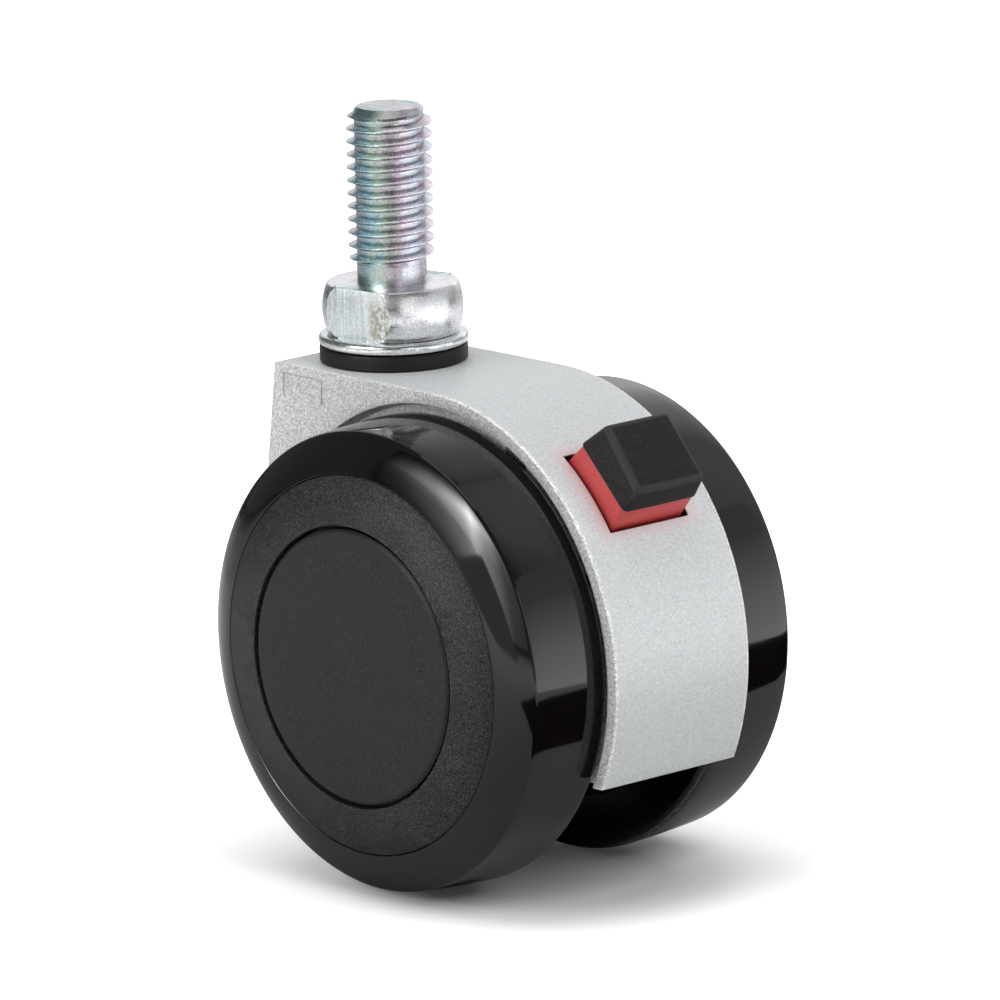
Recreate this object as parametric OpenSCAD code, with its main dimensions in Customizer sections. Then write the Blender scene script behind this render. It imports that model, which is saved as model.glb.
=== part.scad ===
// Twin wheel castor with a threaded stem and a foot brake.
// The origin is the centre of the collar's top face, on the stem's axis, where the castor
// seats against what it carries. +Z runs up the stem, +X points back to the axle and the
// tail of the hood, and Y runs along the axle. The castor has its brake off.

/* [Stem] */
// Nominal diameter of the thread
thread_d = 9.85; // [6:0.05:16]
// Length of the stud above the collar, with its plain neck
stud_l = 20.3; // [12:0.1:60]
// Diameter of the plain neck under the thread
neck_d = 8; // [4.5:0.1:9]
// Length of the plain neck
neck_l = 3.1; // [1:0.1:8]
// Height over which the neck widens to the thread
neck_flare = 0.6; // [0.3:0.1:1.5]
// Chamfer at the stud's end
stud_tip = 1.3; // [0.5:0.1:1.5]
// Diameter of the collar at its widest
collar_d = 16.2; // [14:0.1:20]
// Height of the collar
collar_h = 5.9; // [3:0.1:10]
// How far the collar's side bulges between its two ends
collar_bulge = 0.6; // [0.3:0.05:1.2]
// Distance across the two spanner flats of the collar
flats_w = 13.6; // [11:0.1:14]
// Turn of the spanner flats about the stem
flats_turn = 10; // [0:1:90]
// Diameter of the steel washer under the collar
washer_d = 17.1; // [14:0.1:22]
// Thickness of the steel washer
washer_t = 1.3; // [0.8:0.1:3]
// Diameter of the shank that turns in the hood
shank_d = 8; // [6:0.1:9]
// Thickness of the clip that keeps the shank in the hood
clip_t = 0.9; // [0.6:0.1:1.5]
// Depth of the clip's groove in the shank
groove_depth = 0.6; // [0.4:0.1:1]
// How far the clip stands out of the shank
clip_lip = 1.4; // [0.8:0.1:2]
// Length of the shank under the clip
shank_tail = 1.2; // [0.8:0.1:3]

/* [Swivel bearing] */
// Diameter of the black ring on top of the hood
ring_d = 17; // [15:0.1:20]
// Height of the black ring
ring_t = 1.9; // [1:0.1:4]
// Outside diameter of the bearing sleeves
sleeve_d = 11.2; // [10:0.1:13]
// Running clearance on the radius of every turning pin
run = 0.05; // [0.02:0.01:0.1]

/* [Hood] */
// Distance from the stem's axis back to the axle
trail = 17; // [14:0.1:22]
// Width over the hood's band
band_w = 20.8; // [20:0.1:30]
// Thickness of the band round the wheels
band_t = 1.5; // [1.2:0.1:3]
// Width over the two recessed side walls
web_w = 17.3; // [16:0.1:18.6]
// Thickness of the side walls and of the front wall
wall_t = 1.6; // [1.2:0.1:2.4]
// Thickness of the flat top
top_t = 2.6; // [2:0.1:4]
// Slant of the nose's front face from upright
nose_slant = 7.3; // [2:0.1:9]
// Height of the nose's lower edge under the axle
nose_drop = 3; // [0:0.5:6]
// Height of the tail's lower edge under the axle
tail_drop = 12.2; // [9:0.1:14]
// Depth of the boss that holds the swivel bearing
boss_l = 16; // [13:0.1:18]
// Diameter of the boss that holds the axle
axle_boss_d = 13; // [10:0.5:14]

/* [Wheels] */
// Diameter over the tread
wheel_d = 54; // [50:0.5:60]
// Gap between the tread and the band
wheel_gap = 1; // [0.6:0.1:3]
// Gap between a wheel and the side wall beside it
side_gap = 0.55; // [0.4:0.05:1.5]
// Width of the tread's running face
tread_w = 10.55; // [8:0.05:14]
// Width of the polished shoulder outside it
shoulder_w = 2.25; // [1.5:0.05:3]
// Drop of the running face from the inner to the outer edge
tread_fall = 0.6; // [0.2:0.1:1]
// Depth of the tread between its running face and the wheel's face
tread_t = 5.2; // [4:0.1:7]
// How far the tread's lip covers the wheel's rim
lip_w = 0.9; // [0.5:0.1:1.2]
// Thickness of that lip
lip_t = 1.4; // [1:0.1:2]
// Diameter of the hub cap
cap_d = 32; // [26:0.1:34]
// How far the face stands out at the hub cap
face_rise = 1.4; // [0.8:0.1:2]
// Depth of the pocket that takes the hub cap
cap_t = 1.8; // [1.4:0.1:2.2]
// Gap round the hub cap
cap_gap = 0.2; // [0.1:0.05:0.5]
// Thickness of the wheel's plastic walls
core_t = 2; // [1.4:0.1:2.6]
// Diameter of the hub
hub_d = 14; // [13:0.1:16]
// Number of ribs between the hub and the rim
ribs = 8; // [4:4:16]
// Diameter of the axle
axle_d = 6; // [5:0.1:7]
// Thickness of the push-on nuts
nut_t = 0.8; // [0.5:0.1:1.5]
// Gap between a nut and the hub
nut_gap = 0.2; // [0.1:0.05:0.4]
// Length of the axle that shows past a nut
axle_tail = 0.4; // [0.2:0.1:0.5]
// Wall of the wheel's bearing bush
bush_t = 1.4; // [1:0.1:2]

/* [Brake] */
// Angle of the lever's place on the band above the level of the axle
lever_angle = 44; // [40:1:48]
// Length of the slot along the band
slot_l = 10.6; // [10.4:0.1:12]
// Width of the slot across the band
slot_w = 12.1; // [11.7:0.1:13]
// Width of the lever
lever_w = 11.2; // [10:0.1:11.4]
// Height that the red lever stands out of the band
lever_out = 2.55; // [1.5:0.05:3.5]
// Height of the rubber cap at its low end
cap_h = 3.2; // [2.5:0.1:5]
// Extra height of the rubber cap at its high end
cap_tilt = 0.8; // [0:0.1:1.5]
// Travel of the lever from off to on
brake_travel = 5; // [4:0.5:5]
// Diameter of the lever's pivot pin
pivot_d = 3; // [2:0.1:3.2]
// Diameter of the brake bar
bar_d = 3; // [2:0.1:3.4]
// Outside diameter of the rubber shoes on the bar
shoe_d = 5.2; // [4.4:0.1:6]
// How far the bar reaches past each side wall
shoe_reach = 4.3; // [3:0.1:4.8]
// Thickness of the drum that the shoes press on
drum_t = 1.8; // [1.2:0.1:2.4]
// Thickness of the leaf spring
spring_t = 0.6; // [0.3:0.05:0.8]

/* [Hidden] */
$fn = 96;
over = 1;

// heights and radii that follow from the sizes above
wheel_r = wheel_d / 2;
recess_r = wheel_r + wheel_gap;
band_r = recess_r + band_t;
draft = 0.35;
hood_top = -collar_h - washer_t - ring_t;
axle_z = hood_top - band_r;
boss_r = sleeve_d / 2 + 1.9;
bush_flange_t = 1;
clip_gap = 0.15;
clip_top = hood_top - boss_l - bush_flange_t - clip_gap;
shank_r = shank_d / 2;
groove_r = shank_r - groove_depth;
clip_r = shank_r + clip_lip;
shank_end = clip_top - clip_t - shank_tail;
edge_break = 0.2;
bond = 0.1;
axle_r = axle_d / 2;
cavity_w = web_w - 2 * wall_t;
nose_x = band_r * (1 - sin(nose_slant)) / cos(nose_slant) - trail;

// stations along the axle, measured out from the mid-plane
rib_recess = 4.85;
wheel_in = web_w / 2 + side_gap;
tread_edge = wheel_in + tread_w;
face_edge = tread_edge + shoulder_w;
face_top = face_edge + face_rise;
pocket_floor = face_top - cap_t;
web_back = pocket_floor - core_t;
groove_floor = wheel_in + rib_recess;
hub_end = web_back + 0.1;
nut_in = hub_end + nut_gap;
axle_half = nut_in + nut_t + axle_tail;

// radii of the wheel
face_r = wheel_r - tread_t;
rim_r = face_r + lip_w;
rim_in = rim_r - core_t;
hub_r = hub_d / 2;
bush_r = axle_r + run + bush_t;
pocket_r = cap_d / 2 + cap_gap;
hub_wall = 1.8;
lug_r = 1.2;
lug_tail = 0.8;
lug_at = cap_d / 2 - lug_r - 0.4;
rib_t = 1.6;
shoulder_r = wheel_r - tread_fall;

// the lever's own plane: x points out of the band, y runs up along it towards the stem
pivot_at = [-6.2, -8];
bar_at = [-14, 3];
eye_r = pivot_d / 2 + 1.3;
bar_r = bar_d / 2;
shoe_r = shoe_d / 2;
cheek_t = 2.4;
head_depth = 3.6;
touch = 0.05;
function turned(p, a) = [p.x * cos(a) - p.y * sin(a), p.x * sin(a) + p.y * cos(a)];
bar_on = pivot_at + turned(bar_at - pivot_at, brake_travel);
bar_mid = (bar_at + bar_on) / 2;
bar_on_r = norm([band_r + bar_on.x, bar_on.y]);
drum_r = bar_on_r - shoe_r - touch;
drum_in = drum_r - drum_t;
drum_edge = wheel_in + 0.4;

// the lever's head between the ends of the slot, its tenon in the cap, and the bar's reach
foot_low = -slot_l / 2 + 0.42;
foot_high = slot_l / 2 - 0.55;
tenon_out = lever_out + 2;
tenon_w = lever_w - 2.6;
bar_half = web_w / 2 + shoe_reach;

// the leaf spring, from its root in the axle boss to its free end past the bar
spring_w = 5;
spring_gap = 0.2;
spring_grip = 1.5;
spring_foot = 1;
spring_rise = 0.3;
spring_before = 4;
spring_past = 2.2;
spring_lip = 1.2;
spring_dip = 0.9;
spring_line = bar_at.y + bar_r + spring_gap + spring_t / 2;
spring_exit = axle_boss_d / 2 - band_r;
spring_root = [spring_exit - spring_grip, spring_grip];
spring_points = [spring_root, [spring_exit + spring_foot, spring_grip + spring_rise],
    [bar_at.x - spring_before, spring_line], [bar_at.x + spring_past, spring_line],
    [bar_at.x + spring_past + spring_lip, spring_line - spring_dip]];

silver = [0.78, 0.80, 0.81];
zinc = [0.80, 0.82, 0.84];
black = [0.16, 0.15, 0.15];
gloss_black = [0.05, 0.05, 0.05];
red = [0.78, 0.22, 0.22];
natural = [0.88, 0.87, 0.82];

// Moves a shape that is built about the axle to its place
module at_axle() {
    translate([trail, 0, axle_z]) children();
}

// Stands a side view up, so that its x runs back and its y runs up, and gives it a width
module side_plate(width) {
    rotate([90, 0, 0]) linear_extrude(width, center = true) children();
}

// Puts a drawing in the lever's plane on the side view of the hood
module lever_plane() {
    rotate(lever_angle) translate([band_r, 0]) children();
}

// The lever's place in space: x points out of the band, y along the axle, z up along the band
module lever_space() {
    rotate([0, -lever_angle, 0]) translate([band_r, 0, 0]) children();
}

// Turns a section, drawn as radius and distance from the mid-plane, about the axle
module about_axle(side) {
    mirror([0, side > 0 ? 1 : 0, 0]) rotate([90, 0, 0]) rotate_extrude() children();
}

// A round pin along the axle's direction between two stations
module cross_pin(r, from, to) {
    translate([0, -from, 0]) rotate([90, 0, 0]) cylinder(r = r, h = to - from);
}

// A ring about the stem with a rounded rim
module rounded_ring(r_in, r_out, t, edge) {
    rotate_extrude() difference() {
        union() {
            translate([r_in, 0]) square([r_out - edge - r_in, t]);
            translate([r_in, edge]) square([r_out - r_in, t - 2 * edge]);
            for (y = [edge, t - edge]) translate([r_out - edge, y]) circle(edge);
        }
        translate([-over, -over]) square([r_in + over, t + 2 * over]);
    }
}

// Stud, barrel collar with two flats, and swivel shank: one turned piece of plated steel
module threaded_stem() {
    thread_r = thread_d / 2;
    thread_from = neck_l + neck_flare;
    thread_to = stud_l - stud_tip;
    collar_r = collar_d / 2;
    barrel_r = (pow(collar_h / 2, 2) + pow(collar_bulge, 2)) / (2 * collar_bulge);
    color(zinc) {
        cylinder(d = neck_d, h = thread_from);
        translate([0, 0, neck_l]) cylinder(r1 = neck_d / 2, r2 = thread_r, h = neck_flare);
        translate([0, 0, thread_from]) cylinder(r = thread_r, h = thread_to - thread_from);
        translate([0, 0, thread_to]) cylinder(r1 = thread_r, r2 = thread_r - stud_tip, h = stud_tip);
        intersection() {
            translate([0, 0, -collar_h]) rotate_extrude() intersection() {
                square([collar_r, collar_h]);
                union() {
                    square([collar_r - collar_bulge - edge_break, collar_h]);
                    translate([0, edge_break]) square([collar_r - collar_bulge, collar_h - 2 * edge_break]);
                    intersection() {
                        translate([collar_r - barrel_r, collar_h / 2]) circle(barrel_r);
                        translate([0, edge_break]) square([collar_r, collar_h - 2 * edge_break]);
                    }
                }
            }
            rotate(flats_turn) cube([collar_d + over, flats_w, 3 * collar_h], center = true);
        }
        difference() {
            translate([0, 0, shank_end]) cylinder(r = shank_r, h = -collar_h - shank_end + bond);
            translate([0, 0, clip_top - clip_t]) difference() {
                cylinder(r = shank_r + over, h = clip_t);
                cylinder(r = groove_r, h = clip_t);
            }
        }
    }
}

// Plated washer with a rounded rim, under the collar
module stem_washer() {
    color(zinc) translate([0, 0, -collar_h - washer_t])
        rounded_ring(shank_r, washer_d / 2, washer_t, washer_t / 2 - 0.1);
}

// Snap ring in the groove near the shank's lower end
module stem_clip() {
    mouth = 1.5 * groove_r;
    color("dimgray") translate([0, 0, clip_top - clip_t]) difference() {
        cylinder(r = clip_r, h = clip_t);
        translate([0, 0, -over]) cylinder(r = groove_r, h = clip_t + 2 * over);
        translate([0, -mouth / 2, -over]) cube([clip_r + over, mouth, clip_t + 2 * over]);
    }
}

// Black plastic ring that the washer turns on, with its sleeve in the boss
module swivel_ring() {
    color(black) translate([0, 0, hood_top]) difference() {
        union() {
            cylinder(d = ring_d, h = ring_t - touch);
            translate([0, 0, -boss_l / 2]) cylinder(d = sleeve_d, h = boss_l / 2 + bond);
        }
        translate([0, 0, -boss_l]) cylinder(r = shank_r + run, h = boss_l + ring_t + over);
    }
}

// Lower bearing bush with a flange against the end of the boss
module swivel_bush() {
    color(natural) translate([0, 0, hood_top - boss_l]) difference() {
        union() {
            translate([0, 0, -bush_flange_t]) cylinder(r = boss_r - 0.5, h = bush_flange_t);
            cylinder(d = sleeve_d, h = boss_l / 2);
        }
        translate([0, 0, -bush_flange_t - over])
            cylinder(r = shank_r + run, h = boss_l + bush_flange_t + over);
    }
}

// Side view of a round body with a corner over the stem: its flat top and its slanted front
// both run off the circle
module hood_side(r) {
    circle(r);
    polygon([[0, r], [-r * (1 - sin(nose_slant)) / cos(nose_slant), r],
        [-r * cos(nose_slant), r * sin(nose_slant)], [0, 0]]);
}

// Side view of the hood, cut off at the nose and the tail and dipping under the axle boss
module hood_outline() {
    far = 2 * band_r;
    boss_dip = axle_boss_d / 2 + 3;
    intersection() {
        hood_side(band_r);
        polygon([[-far, far], [-far, -nose_drop], [-recess_r, -nose_drop], [-axle_boss_d, -boss_dip],
            [0, -tail_drop], [far, -tail_drop], [far, far]]);
    }
}

// Side view of the room between the side walls
module cavity_outline() {
    far = 2 * band_r;
    intersection() {
        hood_side(band_r - wall_t);
        translate([-far, -far]) square([2 * far, far + band_r - top_t]);
    }
}

// Sunk field beside the nose's corner, deepest at its front end
module side_field() {
    field_l = 6.6;
    field_h = 2.9;
    front_depth = 0.35;
    rear_depth = 0.12;
    in_from_nose = 1.3;
    under_top = 1.1;
    translate([-nose_x + in_from_nose, -band_w / 2, hood_top - under_top - field_h])
        linear_extrude(field_h) polygon([[0, -over], [0, front_depth], [field_l, rear_depth], [field_l, -over]]);
}

// Die-cast hood: band, recessed side walls, stem boss, axle boss and brake slot in one piece
module hood() {
    rib_t = 2.4;
    color(silver) difference() {
        union() {
            at_axle() difference() {
                side_plate(band_w) hood_outline();
                side_plate(cavity_w) cavity_outline();
                for (side = [-1, 1]) mirror([0, side > 0 ? 1 : 0, 0])
                    translate([0, -web_w / 2, 0]) rotate([90, 0, 0]) {
                        depth = (band_w - web_w) / 2;
                        cylinder(r1 = recess_r - draft, r2 = recess_r, h = depth);
                        translate([0, 0, depth]) cylinder(r = recess_r, h = over);
                    }
            }
            translate([0, 0, hood_top - boss_l]) cylinder(r = boss_r, h = boss_l);
            at_axle() side_plate(boss_r) intersection() {
                hood_side(band_r - wall_t / 2);
                translate([-2 * band_r, band_r - boss_l]) square([2 * band_r - trail, boss_l]);
            }
            at_axle() cross_pin(axle_boss_d / 2, -web_w / 2, web_w / 2);
            at_axle() side_plate(rib_t) polygon([[-trail + 1, band_r - boss_l + 1],
                [-trail + boss_r - 1, band_r - boss_l + 1], [axle_boss_d / 4, axle_boss_d / 4],
                [-axle_boss_d / 3, -axle_boss_d / 4]]);
        }
        translate([0, 0, hood_top - boss_l - over]) cylinder(d = sleeve_d, h = boss_l + 2 * over);
        translate([0, 0, hood_top - 2 * boss_l]) cylinder(r = boss_r + 0.5, h = boss_l);
        at_axle() {
            cross_pin(axle_r, -web_w, web_w);
            side_plate(slot_w) lever_plane()
                translate([-2 * band_t, -slot_l / 2]) square([4 * band_t, slot_l]);
            side_plate(web_w + over) lever_plane() translate(pivot_at) circle(d = pivot_d);
            side_plate(web_w + over) lever_plane() translate(bar_mid)
                circle(norm(bar_at - bar_on) / 2 + bar_r + 0.45);
            side_plate(spring_w + 0.1) spring_foot();
        }
        side_field();
    }
}

// Steel axle with chamfered ends, pressed through the hood's boss
module axle() {
    edge = 0.5;
    color(zinc) at_axle() {
        cross_pin(axle_r, -axle_half + edge, axle_half - edge);
        for (side = [-1, 1]) mirror([0, side > 0 ? 1 : 0, 0]) translate([0, -axle_half + edge, 0])
            rotate([90, 0, 0]) cylinder(r1 = axle_r, r2 = axle_r - edge, h = edge);
    }
}

// Push-on lock washer that keeps a wheel on the axle
module axle_nut(side) {
    teeth = 6;
    color("dimgray") at_axle() mirror([0, side > 0 ? 1 : 0, 0]) difference() {
        cross_pin(bush_r + 1, nut_in, nut_in + nut_t);
        cross_pin(axle_r, nut_in - over, nut_in + nut_t + over);
        for (i = [0 : teeth - 1]) rotate([0, i * 360 / teeth, 0])
            translate([0, -nut_in - nut_t - over, -0.3]) cube([bush_r, nut_t + 2 * over, 0.6]);
    }
}

// Pivot pin of the lever, held in the two side walls
module lever_pin() {
    color(zinc) at_axle() side_plate(web_w - 0.1) lever_plane() translate(pivot_at) circle(d = pivot_d);
}

// Half the strip's thickness square to its line at one point, mitred where the line bends
function strip_side(points, i) = let (
    before = points[max(i, 1)] - points[max(i, 1) - 1],
    after = points[min(i, len(points) - 2) + 1] - points[min(i, len(points) - 2)],
    a = before / norm(before),
    b = after / norm(after),
    out = [-a.y - b.y, a.x + b.x] / norm(a + b)
) out * (spring_t / 2) / (out * [-a.y, a.x]);

// A flat strip of even thickness bent along points
module strip(points) {
    last = len(points) - 1;
    polygon(concat([for (i = [0 : last]) points[i] + strip_side(points, i)],
        [for (i = [last : -1 : 0]) points[i] - strip_side(points, i)]));
}

// The end of the leaf spring that sits in the axle boss
module spring_foot() {
    lever_plane() strip([spring_points[0], spring_points[1]]);
}

// Leaf spring that holds the brake bar in its on and off places
module detent_spring() {
    color("gray") at_axle() side_plate(spring_w) lever_plane() strip(spring_points);
}

// A plate between two round eyes in the lever's plane
module link_plate(p, rp, q, rq) {
    step = (q - p) / norm(q - p);
    out = [-step.y, step.x];
    polygon([p + out * rp, p - out * rp, q - out * rq, q + out * rq]);
    translate(p) circle(rp);
    translate(q) circle(rq);
}

// Side view of the lever from its head down to the bar
module lever_outline() {
    polygon([[lever_out, foot_low + 0.38], [-0.67, foot_low], [-2.7, foot_low - 0.1],
        [pivot_at.x + eye_r * 0.8, pivot_at.y + eye_r * 0.58], [bar_at.x + 2.6, bar_at.y + 1.8],
        [-2.2, foot_high + 0.1], [-0.5, foot_high], [lever_out, foot_high - 0.12]]);
    link_plate(pivot_at, eye_r, bar_at, bar_r + 1.6);
}

// Red lever: a solid head in the slot and two cheeks down to the brake bar
module brake_lever() {
    color(red) at_axle() difference() {
        union() {
            side_plate(lever_w) lever_plane() lever_outline();
            side_plate(tenon_w) lever_plane() polygon([[lever_out - bond, foot_low + 1.7],
                [tenon_out, foot_low + 1.9], [tenon_out, foot_high - 1.5], [lever_out - bond, foot_high - 1.3]]);
        }
        side_plate(lever_w - 2 * cheek_t) lever_plane()
            translate([-band_r, -band_r]) square([band_r - head_depth, 2 * band_r]);
        side_plate(lever_w + over) lever_plane() translate(pivot_at) circle(pivot_d / 2 + run);
        side_plate(lever_w + over) lever_plane() translate(bar_at) circle(bar_r);
    }
}

// Black rubber cap pushed over the lever's tenon
module lever_cap() {
    low = foot_low + 0.08;
    high = foot_high + 0.2;
    lip_w = lever_w + 0.3;
    top_low = lever_out + cap_h;
    top_high = top_low + cap_tilt;
    edge = 0.5;
    color(black) at_axle() difference() {
        intersection() {
            side_plate(lip_w) lever_plane() polygon([[lever_out, low], [lever_out, high],
                [top_high - edge, high - 0.4], [top_high, high - 0.4 - edge],
                [top_low, low + 0.4 + edge], [top_low - edge, low + 0.4]]);
            lever_space() linear_extrude(4 * slot_l, center = true) polygon([
                [lever_out, -lip_w / 2], [top_low - edge, -lip_w / 2 + 0.25],
                [top_high, -lip_w / 2 + 0.25 + edge + cap_tilt], [top_high, lip_w / 2 - 0.25 - edge - cap_tilt],
                [top_low - edge, lip_w / 2 - 0.25], [lever_out, lip_w / 2]]);
        }
        side_plate(tenon_w) lever_plane() polygon([[lever_out - over, foot_low + 1.6],
            [lever_out, foot_low + 1.7], [tenon_out, foot_low + 1.9], [tenon_out, foot_high - 1.5],
            [lever_out, foot_high - 1.3], [lever_out - over, foot_high - 1.2]]);
    }
}

// Steel bar through the lever that reaches past both side walls
module brake_bar() {
    color(zinc) at_axle() side_plate(2 * bar_half) lever_plane() translate(bar_at) circle(bar_r);
}

// Rubber shoe on one end of the bar, which presses on the wheel's drum
module brake_shoe(side) {
    length = bar_half - web_w / 2 - 0.4;
    color(black) at_axle() mirror([0, side > 0 ? 1 : 0, 0])
        translate([0, -web_w / 2 - 0.35 - length / 2, 0]) difference() {
            side_plate(length) lever_plane() translate(bar_at) circle(shoe_r);
            side_plate(length + over) lever_plane() translate(bar_at) circle(bar_r);
        }
}

// Points on a circular arc from one angle to another
function arc(c, r, from, to, n) = [for (i = [0 : n]) let (a = from + (to - from) * i / n)
    [c.x + r * cos(a), c.y + r * sin(a)]];

// Polished tyre: crowned running face, sloped shoulder and a lip over the rim
module tread(side) {
    edge = 1;
    crown = 0.12;
    mid_y = (wheel_in + edge + tread_edge) / 2;
    mid_r = (wheel_r + shoulder_r) / 2 + crown;
    slope_r = shoulder_r - face_r;
    color(gloss_black) at_axle() about_axle(side) polygon(concat(
        [[rim_r, wheel_in]],
        arc([wheel_r - edge, wheel_in + edge], edge, -90, 0, 8),
        [[mid_r, mid_y], [shoulder_r, tread_edge],
            [shoulder_r - slope_r * 0.3, tread_edge + shoulder_w * 0.42],
            [shoulder_r - slope_r * 0.59, tread_edge + shoulder_w * 0.72],
            [face_r, face_edge], [face_r, face_edge - lip_t], [rim_r, face_edge - lip_t]]));
}

// Moulded wheel body: rim, web, hub, brake drum, ribs and the textured face round the cap
module wheel_core(side) {
    slope = face_rise / (face_r - pocket_r);
    well_r = bush_r + hub_wall;
    root = 0.5;
    color(black) at_axle() difference() {
        union() {
            about_axle(side) polygon([
                [bush_r, wheel_in], [hub_r, wheel_in], [hub_r, web_back],
                [drum_in, web_back], [drum_in, drum_edge], [drum_r, drum_edge],
                [drum_r, web_back], [rim_in, web_back], [rim_in, wheel_in], [rim_r, wheel_in],
                [rim_r, face_edge - lip_t], [face_r, face_edge - lip_t], [face_r, face_edge],
                [pocket_r, face_edge + slope * (face_r - pocket_r)], [pocket_r, pocket_floor],
                [well_r, pocket_floor], [well_r, hub_end], [bush_r, hub_end]]);
            for (i = [0 : ribs - 1]) mirror([0, side > 0 ? 1 : 0, 0])
                rotate([0, i * 360 / ribs, 0]) {
                    translate([drum_r - root, -web_back - root, -rib_t / 2])
                        cube([rim_in - drum_r + 2 * root, web_back + root - groove_floor, rib_t]);
                    translate([hub_r - root, -web_back - root, -rib_t / 2])
                        cube([drum_in - hub_r + 2 * root, web_back - root - wheel_in, rib_t]);
                }
        }
        mirror([0, side > 0 ? 1 : 0, 0]) for (i = [0 : 3]) rotate([0, 22.5 + i * 90, 0])
            translate([lug_at, 0, 0]) cross_pin(lug_r + run, web_back - over, pocket_floor + over);
    }
}

// Smooth hub cap with a low dome and four snap lugs
module hub_cap(side) {
    cap_r = cap_d / 2;
    dome = 0.25;
    edge = 0.35;
    skin = 0.6;
    foot = 1.5;
    rise = [for (i = [0 : 6]) let (r = (cap_r - edge) * (1 - i / 6))
        [r, face_top + dome * (1 - pow(r / (cap_r - edge), 2))]];
    color(black) at_axle() {
        about_axle(side) polygon(concat(
            [[0, pocket_floor + skin], [cap_r - foot, pocket_floor + skin], [cap_r - foot, pocket_floor],
                [cap_r, pocket_floor], [cap_r, face_top - edge]], rise));
        mirror([0, side > 0 ? 1 : 0, 0]) for (i = [0 : 3]) rotate([0, 22.5 + i * 90, 0])
            translate([lug_at, 0, 0]) cross_pin(lug_r, web_back - lug_tail, pocket_floor + skin + bond);
    }
}

// Plastic bush with a flange between the hub and the hood's side wall
module wheel_bush(side) {
    flange_in = web_w / 2 + 0.1;
    color(natural) at_axle() about_axle(side) polygon([
        [axle_r + run, flange_in], [hub_r - 0.6, flange_in], [hub_r - 0.6, wheel_in],
        [bush_r, wheel_in], [bush_r, hub_end], [axle_r + run, hub_end]]);
}

threaded_stem();
stem_washer();
stem_clip();
hood();
swivel_ring();
swivel_bush();
axle();
axle_nut(-1);  // axle_nut_left
axle_nut(1);  // axle_nut_right
lever_pin();
detent_spring();
brake_lever();
lever_cap();
brake_bar();
brake_shoe(-1);  // brake_shoe_left
brake_shoe(1);  // brake_shoe_right
tread(-1);  // tread_left
wheel_core(-1);  // wheel_core_left
hub_cap(-1);  // hub_cap_left
wheel_bush(-1);  // wheel_bush_left
tread(1);  // tread_right
wheel_core(1);  // wheel_core_right
hub_cap(1);  // hub_cap_right
wheel_bush(1);  // wheel_bush_right
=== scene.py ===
import math

import bmesh
import bpy
from mathutils import Matrix, Vector


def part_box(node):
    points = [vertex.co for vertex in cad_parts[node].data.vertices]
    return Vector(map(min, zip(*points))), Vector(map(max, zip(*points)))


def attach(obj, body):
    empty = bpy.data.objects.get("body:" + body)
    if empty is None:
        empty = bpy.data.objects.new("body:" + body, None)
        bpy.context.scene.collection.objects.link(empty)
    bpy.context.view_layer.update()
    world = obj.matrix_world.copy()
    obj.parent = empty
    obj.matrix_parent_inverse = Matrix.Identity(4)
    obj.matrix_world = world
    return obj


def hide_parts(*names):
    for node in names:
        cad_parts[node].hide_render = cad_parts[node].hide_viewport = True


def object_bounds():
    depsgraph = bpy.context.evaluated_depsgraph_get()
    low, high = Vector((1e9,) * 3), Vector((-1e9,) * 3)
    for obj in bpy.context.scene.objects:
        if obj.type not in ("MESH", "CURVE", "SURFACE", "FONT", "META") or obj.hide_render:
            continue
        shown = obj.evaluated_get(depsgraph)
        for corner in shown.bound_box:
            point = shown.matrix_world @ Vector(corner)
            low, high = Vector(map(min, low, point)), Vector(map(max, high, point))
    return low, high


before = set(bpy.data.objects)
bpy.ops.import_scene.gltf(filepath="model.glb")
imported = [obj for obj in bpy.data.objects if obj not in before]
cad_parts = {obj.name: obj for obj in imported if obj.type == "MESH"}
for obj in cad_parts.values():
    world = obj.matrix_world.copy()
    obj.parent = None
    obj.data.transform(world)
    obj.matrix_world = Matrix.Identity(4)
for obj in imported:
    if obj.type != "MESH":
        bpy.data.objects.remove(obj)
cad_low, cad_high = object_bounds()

# Threaded stem: one turned, zinc-plated piece of steel. It has a rolled thread of 1.5 mm pitch,
# a plain neck, a barrel collar with two milled spanner flats, and a shank that turns in the hood.
one_mm = 0.001
mm_per_m = 1000
weld = 1e-7
thread_r = 4.925
thread_root_r = 3.96
thread_pitch = 1.5
thread_turns = 15
thread_start_turn = 0.37
half_root = 0.27
flank = 0.38
root_round = 0.03
crest_drop, crest_round = 0.05, 0.06
turn_steps = 96
stud_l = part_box("threaded_stem")[1].z * mm_per_m
stud_tip = 1.3
neck_r = 4.0
neck_l = 2.2
thread_low = 1.6
thread_foot = thread_low - thread_pitch
neck_flare = 0.6
thread_sink = 0.08
collar_r = 8.1
collar_h = 5.9
collar_bulge = 0.6
bulge_steps = 8
collar_round = 0.25
flat_reach = 6.8
flat_turn = math.radians(10)
flat_edge = 0.12
shank_r = 4.0
shank_round = 0.4
shank_end = -28.35
clip_low, clip_high = -27.15, -26.25
groove_r = 3.4
zinc_white = (0.80, 0.82, 0.83, 1)
zinc_lilac = (0.70, 0.64, 0.72, 1)
zinc_teal = (0.46, 0.65, 0.72, 1)
zinc_green = (0.60, 0.71, 0.62, 1)
zinc_rose = (0.77, 0.66, 0.76, 1)
zinc_ice = (0.68, 0.76, 0.84, 1)
soil_brown = (0.36, 0.33, 0.26, 1)


def mm(*lengths):
    """A point given in millimetres, in the scene's metres."""
    return Vector(lengths) * one_mm


def wire(mesh, points):
    """Joins points, given in millimetres, by edges and returns the vertices."""
    made = [mesh.verts.new(mm(*point)) for point in points]
    for start, end in zip(made, made[1:]):
        mesh.edges.new((start, end))
    return made


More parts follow.
